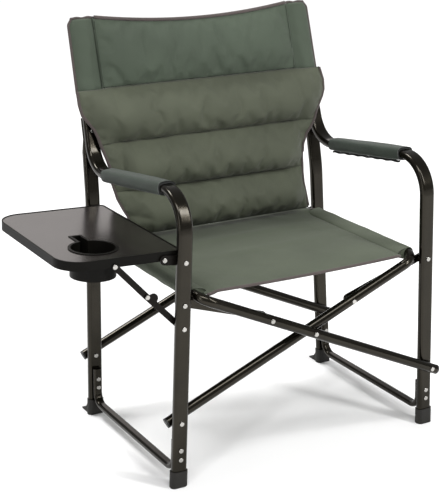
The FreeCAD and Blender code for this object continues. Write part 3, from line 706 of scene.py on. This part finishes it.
def make_seat():
    channels = [(cells(SEAT_DEPTH), cells(SEAT_WIDTH), seat_place)]
    piece = quilt("seat_pad_cloth", channels, MATERIALS["seat_cloth"], **SEAT_STUFFING)
    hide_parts("seat_panel")
    seat_blend(piece)
    hem = [seat_place(u, 1.0)[0] for u in np.linspace(0.0, 1.0, 70)]
    strip = binding("seat_hem", hem, 0.0034)
    seat_blend(strip)
    for name, side, rail_front in (("left", -1, -0.0135), ("right", 1, -0.008)):
        seat_pocket(name, side, rail_front)


def seat_blend(piece):
    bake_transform(piece)


SEAT_POCKET_SHELLS = (0.0135, 0.0116)  # radius of the pocket's outer and inner wall
SEAT_POCKET_LAP = 0.004                # how far the pocket reaches over each of the rail's bends
SEAT_POCKET_DRAW = 0.022               # how strongly its inner side is drawn out towards the seat


def seat_pocket(name, side, rail_front):
    """Cloth sleeve round one seat rail, drawn in flat at its inner side where it is stitched to the seat."""
    rows, ring = 64, 32
    y0 = rail_front + RAIL_BEND - SEAT_POCKET_LAP
    y1 = rail_front + RAIL_LENGTH - RAIL_BEND + SEAT_POCKET_LAP
    vertices, uvs = [], []
    for shell in SEAT_POCKET_SHELLS:
        is_outer = shell == SEAT_POCKET_SHELLS[0]
        for i in range(rows):
            y = y0 + (y1 - y0) * i / (rows - 1)
            for k in range(ring):
                angle = 2 * math.pi * k / ring
                c, s = math.cos(angle), math.sin(angle)
                ripple = noise.noise(Vector((c * 1.4, y * 26, s * 1.4 + side * 3))) * 0.0011
                radius = shell + (ripple if is_outer else 0.0)
                x = RAIL_X + radius * c
                if c < -0.2 and is_outer:
                    x -= SEAT_POCKET_DRAW * (-c - 0.2)
                vertices.append(at(side * x, y, RAIL_Z + radius * s))
                uvs.append((radius * angle, y))
    faces = double_wall_faces(rows, ring, side)
    piece = new_object(name + "_seat_pocket_cloth", vertices, faces, MATERIALS["seat_cloth"], uvs, 1)
    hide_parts(name + "_seat_pocket")
    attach(piece, name + "_seat_frame")


# ---- arm sleeves ------------------------------------------------------------------------------------
SLEEVE_FRONT = 0.080
SLEEVE_REAR = 0.354
SLEEVE_OUTSIDE = (0.0212, 0.0142)      # half width and half height
SLEEVE_INSIDE = (0.0168, 0.0088)
SLEEVE_POWER = 3.2                     # 2 would be an ellipse and more is squarer


def arm_height(y):
    return ARM_HEIGHT - ARM_SLOPE * y


def sleeve_wall(side, rows, ring, wide, deep, soft):
    """Points and cloth coordinates of one wall. The soft outer one tapers at its ends and hangs a little."""
    vertices, uvs = [], []
    for i in range(rows):
        t = i / (rows - 1)
        y = SLEEVE_FRONT + (SLEEVE_REAR - SLEEVE_FRONT) * t
        z = arm_height(y)
        taper = 1.0 - (0.06 * abs(2 * t - 1) ** 6 if soft else 0.0)
        for k in range(ring):
            angle = 2 * math.pi * k / ring
            c, s = math.cos(angle), math.sin(angle)
            square = (abs(c) ** SLEEVE_POWER + abs(s) ** SLEEVE_POWER) ** (-1 / SLEEVE_POWER)
            lump = noise.noise(Vector((c * 1.2, y * 17, s * 1.2 + side * 4))) * 0.0011 if soft else 0.0
            x = c * square * wide * taper + c * lump
            up = s * square * deep * taper + s * lump
            if soft and s < -0.3:
                up -= 0.002 * (-s)
            vertices.append(at(side * (frame_x(z) + x), y + up * ARM_SLOPE, z + up))
            uvs.append((wide * angle, y))
    return vertices, uvs


def arm_sleeve(name, side):
    """Foam-lined sleeve round the arm: rounder than the tube, with a dark lining at its ends."""
    rows, ring = 60, 40
    vertices, uvs = sleeve_wall(side, rows, ring, *SLEEVE_OUTSIDE, soft=True)
    inner_vertices, inner_uvs = sleeve_wall(side, rows, ring, *SLEEVE_INSIDE, soft=False)
    faces = double_wall_faces(rows, ring, side)
    materials = [MATERIALS["sleeve_cloth"], MATERIALS["lining_cloth"]]
    title = name + "_arm_sleeve_cloth"
    piece = new_object(title, vertices + inner_vertices, faces, materials, uvs + inner_uvs)
    outside = (rows - 1) * ring
    for i, polygon in enumerate(piece.data.polygons):
        polygon.material_index = 0 if i < outside else 1
    soften(piece, 1)
    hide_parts(name + "_arm_sleeve")
    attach(piece, name + "_side")
    flap = []
    for i, y in enumerate(np.linspace(SLEEVE_FRONT + 0.006, SLEEVE_REAR - 0.006, 50)):
        z = arm_height(y) - 0.0178 - 0.0008 * math.sin(i * 0.9)
        flap.append(at(side * (frame_x(z) - 0.010), y, z))
    strip = tube(name + "_arm_sleeve_seam", flap, 0.0030, MATERIALS["lining_cloth"], segments=8, flatten=0.5)
    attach(strip, name + "_side")


# ---- stage, light and camera --------------------------------------------------------------------------
WHITE = (1.0, 1.0, 1.0)
WARM = (1.0, 0.91, 0.87)
SKY_STRENGTH = 0.38
LIGHT_AIM = (MID_X, 0.0, 0.5)
# Name, place, width, height, power and colour.
SOFT_BOXES = (
    ("front_box", (-0.6, -1.7, 3.3), 2.0, 0.9, 62.0, WHITE),
    ("bend_light", (1.3, -2.1, 2.2), 0.3, 1.9, 48.0, WHITE),
    ("left_strip", (-2.3, -1.6, 1.3), 0.2, 1.8, 14.0, WHITE),
    ("rear_panel", (1.3, 3.3, 1.9), 2.4, 1.4, 8.0, WARM),
)
SUN_ELEVATION = 64.5                   # degrees
SUN_AZIMUTH = -155.0                   # 0 comes from the chair's front, and negative from the table's side
SUN_SPREAD = 22.0
SUN_STRENGTH = 2.55
FLOOR_RADIUS = 40.0
FLOOR_DROP = 0.0005

CAMERA_PLACE = (-1.485, -2.240, 1.334)
CAMERA_DIP = 17.92                     # degrees below level
CAMERA_TURN = 29.47                    # degrees from straight on, towards the chair's right side
CAMERA_LENS = 96.85                    # millimetres, on a sensor 36 mm wide


def area_light(name, place, width, height, power, colour):
    """A soft box aimed at the chair's middle."""
    data = bpy.data.lights.new(name, "AREA")
    data.shape = "RECTANGLE"
    data.size = width
    data.size_y = height
    data.energy = power
    data.color = colour
    lamp = bpy.data.objects.new(name, data)
    lamp.location = place
    lamp.rotation_euler = (Vector(LIGHT_AIM) - lamp.location).to_track_quat("-Z", "Y").to_euler()
    lamp.visible_camera = False
    bpy.context.scene.collection.objects.link(lamp)


def make_stage():
    mesh = bpy.data.meshes.new("studio_floor")
    shape = bmesh.new()
    bmesh.ops.create_circle(shape, cap_ends=True, segments=96, radius=FLOOR_RADIUS)
    shape.to_mesh(mesh)
    shape.free()
    mesh.materials.append(floor_material())
    floor = bpy.data.objects.new("studio_floor", mesh)
    floor.location = (0.0, 0.0, -FLOOR_DROP)
    bpy.context.scene.collection.objects.link(floor)
    world = bpy.data.worlds.new("studio")
    world.use_nodes = True
    sky = world.node_tree.nodes["Background"].inputs
    sky["Color"].default_value = (*WHITE, 1.0)
    sky["Strength"].default_value = SKY_STRENGTH
    bpy.context.scene.world = world
    sun_light()
    for soft_box in SOFT_BOXES:
        area_light(*soft_box)


def sun_light():
    """A wide soft light from above and behind."""
    data = bpy.data.lights.new("top_sun", "SUN")
    data.energy = SUN_STRENGTH
    data.angle = math.radians(SUN_SPREAD)
    lamp = bpy.data.objects.new("top_sun", data)
    lamp.rotation_euler = (math.radians(90.0 - SUN_ELEVATION), 0.0, math.radians(SUN_AZIMUTH))
    bpy.context.scene.collection.objects.link(lamp)


def make_camera():
    data = bpy.data.cameras.new("camera")
    data.sensor_width = 36.0
    data.lens = CAMERA_LENS
    camera = bpy.data.objects.new("camera", data)
    camera.location = at(*CAMERA_PLACE)
    camera.rotation_euler = (math.radians(90.0 - CAMERA_DIP), 0.0, math.radians(-CAMERA_TURN))
    bpy.context.scene.collection.objects.link(camera)
    bpy.context.scene.camera = camera
    bpy.context.scene.view_settings.view_transform = "Standard"


paint_cad()
make_back()
make_seat()
arm_sleeve("left", -1)
arm_sleeve("right", 1)
make_stage()
make_camera()
